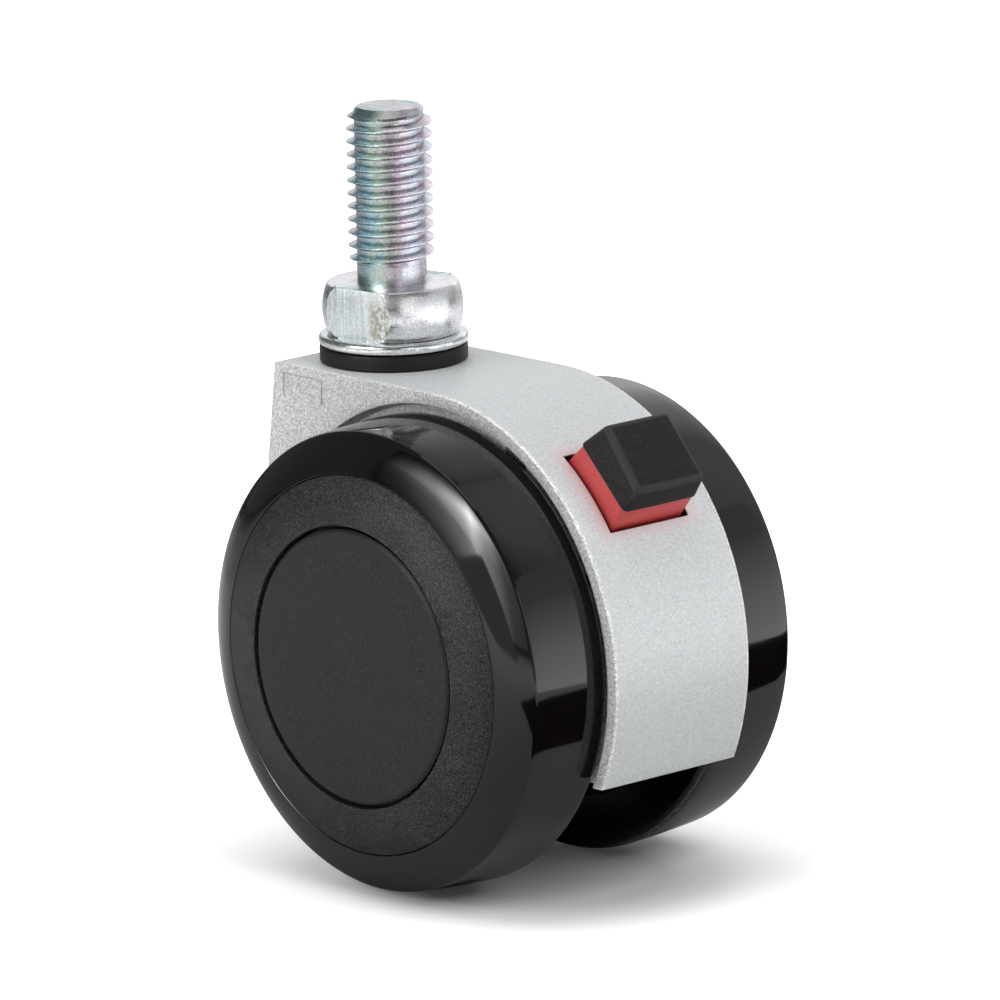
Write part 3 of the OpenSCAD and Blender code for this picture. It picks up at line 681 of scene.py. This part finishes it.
# Painted shadow: for the camera, the floor is darker round the castor's rest place and glows whiter further
# out, on top of the lamps' own shadows. In reflections it is painted darker near the castor and beyond 160 mm
# to its -X side.
ground = Finish("floor_white", {"Roughness": 1.0, "Specular IOR Level": 0.0, "Emission Strength": 1.0})
shade_x, shade_y = 25, -2
floor_x, floor_y = ground.part("X") - shade_x, ground.part("Y") - shade_y
away = ground.node("ShaderNodeMath", {"operation": "SQRT"}, {0: floor_x * floor_x + floor_y * floor_y})
seen = ground.node("ShaderNodeLightPath", {}, {}, "Is Camera Ray")
mirrored = ground.node("ShaderNodeLightPath", {}, {}, "Is Glossy Ray")
floor_white = 0.9
mirror_shade = ground.level(away, 50, 220, 0.5, 0.05) + ground.level(floor_x, -260, -160, 0.35, 0.0)
seen_shade = ground.level(away, 14, 26, 0.42, 0.26)
floor_tone = floor_white - mirrored * mirror_shade - seen * seen_shade
shade_fade = grey((0.14, 0.03), (0.19, 0.12), (0.24, 0.28), (0.30, 0.38), (0.40, 0.46), (0.55, 0.8),
                  (0.75, 1.0))
faded = ground.ramp(away * 0.01, shade_fade)
white_glow = seen * ground.node("ShaderNodeSeparateColor", {}, {"Color": faded})
toned = ground.node("ShaderNodeCombineColor", {}, {0: floor_tone, 1: floor_tone, 2: floor_tone})
glowing = ground.node("ShaderNodeCombineColor", {}, {0: white_glow, 1: white_glow, 2: white_glow})
ground.feed({"Base Color": toned, "Emission Color": glowing})
floor_half = 4.0
floor_mesh = bmesh.new()
bmesh.ops.create_grid(floor_mesh, x_segments=1, y_segments=1, size=floor_half)
bmesh.ops.translate(floor_mesh, verts=floor_mesh.verts, vec=(0, 0, floor_z))
staged("floor", floor_mesh, ground.material)


def panel(name, azimuth, distance, lateral, low, high, strength, by_height, by_side):
    """An upright glowing panel that faces the axle, in metres and degrees from +X towards +Y. lateral
    is where its two sides are, from the side of the larger azimuth to that of the smaller. by_height
    and by_side are ramps of its glow, from the bottom up and from the first side to the second."""
    mesh = bmesh.new()
    bmesh.ops.create_grid(mesh, x_segments=1, y_segments=1, size=0.5)
    across = lateral[1] - lateral[0]
    bmesh.ops.scale(mesh, verts=mesh.verts, vec=(across, high - low, 1))
    bmesh.ops.rotate(mesh, verts=mesh.verts, cent=(0, 0, 0), matrix=Matrix.Rotation(math.pi / 2, 3, "X"))
    middle = ((lateral[0] + lateral[1]) / 2, distance, (low + high) / 2)
    bmesh.ops.translate(mesh, verts=mesh.verts, vec=middle)
    turn = math.radians(azimuth)
    bmesh.ops.rotate(mesh, verts=mesh.verts, cent=(0, 0, 0),
                     matrix=Matrix.Rotation(turn - math.pi / 2, 3, "Z"))
    bmesh.ops.translate(mesh, verts=mesh.verts, vec=axle_foot)
    glowing = Finish(name, {"Base Color": (0, 0, 0, 1), "Roughness": 1.0, "Specular IOR Level": 0.0,
                            "Emission Strength": strength})
    centred = glowing.node("ShaderNodeMapping", {}, {"Vector": glowing.place, "Location": -axle_foot})
    turned = glowing.node("ShaderNodeMapping", {},
                          {"Vector": centred, "Rotation": (0, 0, math.pi / 2 - turn)})
    up = glowing.level(glowing.part("Z", turned), low * mm_per_m, high * mm_per_m)
    along = glowing.level(glowing.part("X", turned), lateral[0] * mm_per_m, lateral[1] * mm_per_m)
    glow = glowing.blended(1.0, glowing.ramp(up, by_height), glowing.ramp(along, by_side), "MULTIPLY")
    glowing.feed({"Emission Color": glow})
    staged(name, mesh, glowing.material, False)


floor_gap = 0.002
panel("right_panel", azimuth=29, distance=0.142, lateral=(-0.09, 0.11), low=floor_z + floor_gap, high=0.065,
      strength=2.5, by_height=grey((0, 1), (0.3, 0.75), (0.45, 0.54), (0.72, 0.25), (1, 0.22)),
      by_side=grey((0, 0.85), (0.3, 0.85), (0.4, 1), (1, 1)))
panel("front_panel", azimuth=-97, distance=0.5, lateral=(-0.35, 0.35), low=-0.03, high=0.5, strength=27.0,
      by_height=grey((0, 0.22), (0.36, 0.3), (0.5, 0.55), (0.62, 1), (0.7, 0.7), (0.82, 0.2), (1, 0)),
      by_side=grey((0, 0.08), (0.2, 0.12), (0.35, 0.45), (0.43, 1), (0.48, 0.6), (0.54, 0.4),
                   (0.66, 0.2), (0.85, 0.05), (1, 0)))
panel("back_panel", azimuth=130, distance=0.5, lateral=(-0.5, 0.5), low=-0.06, high=1.1, strength=1.6,
      by_height=grey((0, 0.3), (0.1, 0.6), (0.17, 0.85), (0.31, 0.6), (0.5, 0.4), (1, 0.3)),
      by_side=grey((0, 0), (0.3, 0.8), (0.7, 1), (1, 0.6)))
panel("far_panel", azimuth=62, distance=0.5, lateral=(-0.3, 0.3), low=0.0, high=1.1, strength=0.75,
      by_height=grey((0, 0.4), (0.14, 0.8), (0.5, 0.95), (1, 0.8)),
      by_side=grey((0, 0.8), (0.3, 1), (0.7, 1), (1, 0.3)))
panel("stem_panel", azimuth=-12, distance=0.25, lateral=(-0.1, 0.1), low=floor_z + floor_gap, high=0.12,
      strength=1.3, by_height=grey((0, 0.4), (0.15, 0.5), (0.4, 1), (1, 0.8)),
      by_side=grey((0, 0.5), (0.3, 1), (0.8, 1), (1, 0.4)))


def card(name, corners, strength=0.0):
    """A card with the given corners, in metres, that only shows in reflections; it may glow evenly."""
    mesh = bmesh.new()
    mesh.faces.new([mesh.verts.new(corner) for corner in corners])
    plain = Finish(name, {"Base Color": (0, 0, 0, 1), "Roughness": 1.0, "Specular IOR Level": 0.0,
                          "Emission Color": (1, 1, 1, 1), "Emission Strength": strength})
    staged(name, mesh, plain.material, False)


card_lift = 0.0005


def floor_card(name, azimuth, reach, lateral):
    """A black card on the floor, from reach[0] to reach[1] metres off the axle in a direction, and
    from lateral[0] to lateral[1] metres to its side."""
    turn = Matrix.Rotation(math.radians(azimuth), 3, "Z")
    card(name, [axle_foot + turn @ Vector((reach[out], lateral[wide], floor_z + card_lift))
                for out, wide in ((0, 0), (1, 0), (1, 1), (0, 1))])


front_reach = 0.4


def in_front(azimuth, elevation):
    """The point that the left wheel's face sees in a direction, in degrees."""
    turn, tilt = math.radians(azimuth), math.radians(elevation)
    return (axle_at + mm(0, -tread_out, 0)
            + front_reach * Vector((math.cos(turn), math.sin(turn), math.tan(tilt))))


floor_card("right_card", azimuth=0, reach=(0.048, 0.114), lateral=(-0.12, 0.18))
floor_card("camera_card", azimuth=-43, reach=(0.29, 0.46), lateral=(-0.03, 0.03))
front_corners = ((-88, 22), (-80, 10), (-72, -3.5), (-125, -3.5), (-118, 0))
card("front_card", [in_front(azimuth, elevation) for azimuth, elevation in front_corners], strength=0.5)
top_at = 0.9
top_half = 0.3
top_corners = ((-1, -1), (1, -1), (1, 1), (-1, 1))
card("top_card", [(x * top_half, y * top_half, top_at) for x, y in top_corners], strength=1.0)

world = bpy.data.worlds.new("studio")
bpy.context.scene.world = world
world.use_nodes = True
sky = world.node_tree.nodes["Background"]
sky_light, sky_white = 0.16, 1.0
sky_path = world.node_tree.nodes.new("ShaderNodeLightPath")
sky_strength = world.node_tree.nodes.new("ShaderNodeMapRange")
world.node_tree.links.new(sky_path.outputs["Is Camera Ray"], sky_strength.inputs["Value"])
sky_strength.inputs["To Min"].default_value = sky_light
sky_strength.inputs["To Max"].default_value = sky_white
world.node_tree.links.new(sky_strength.outputs[0], sky.inputs["Strength"])
sky.inputs["Color"].default_value = (1, 1, 1, 1)

body_centre = mm(17, 0, -30)


def softbox(name, azimuth, elevation, distance, size, watts):
    """A square soft lamp that looks at the castor; azimuth turns from +X towards +Y."""
    lamp = bpy.data.lights.new(name, "AREA")
    lamp.shape = "RECTANGLE"
    lamp.size, lamp.size_y = size, size
    lamp.energy = watts
    made = bpy.data.objects.new(name, lamp)
    turn, tilt = math.radians(azimuth), math.radians(elevation)
    out = Vector((math.cos(turn) * math.cos(tilt), math.sin(turn) * math.cos(tilt), math.sin(tilt)))
    made.location = body_centre + out * distance
    made.rotation_euler = out.to_track_quat("Z", "Y").to_euler()
    made.visible_camera = False
    made.visible_glossy = False
    bpy.context.scene.collection.objects.link(made)


softbox("top_softbox", azimuth=-155, elevation=78, distance=0.9, size=0.55, watts=4.6)
softbox("right_softbox", azimuth=5, elevation=42, distance=0.7, size=0.4, watts=4.5)
softbox("front_softbox", azimuth=-105, elevation=24, distance=0.7, size=0.4, watts=2.7)

# Camera: a long lens, turned and tilted as the photo's was, in front of the castor to its left.
camera_data = bpy.data.cameras.new("camera")
camera_data.sensor_width = 36
camera_data.lens = 396
camera_data.clip_end = 50
camera = bpy.data.objects.new("camera", camera_data)
camera_at = (0.904868, -0.834573, 0.250116)
camera_roll = math.radians(-1.205)
back = Vector((0.71090, -0.66836, 0.21888)).normalized()
level_right = Vector((-back.y, back.x, 0)).normalized()
level_up = back.cross(level_right)
camera_right = level_right * math.cos(camera_roll) + level_up * math.sin(camera_roll)
camera_up = level_up * math.cos(camera_roll) - level_right * math.sin(camera_roll)
camera_turn = Matrix((camera_right, camera_up, back)).transposed().to_4x4()
camera.matrix_world = Matrix.Translation(camera_at) @ camera_turn
bpy.context.scene.collection.objects.link(camera)
bpy.context.scene.camera = camera
bpy.context.scene.view_settings.view_transform = "Standard"
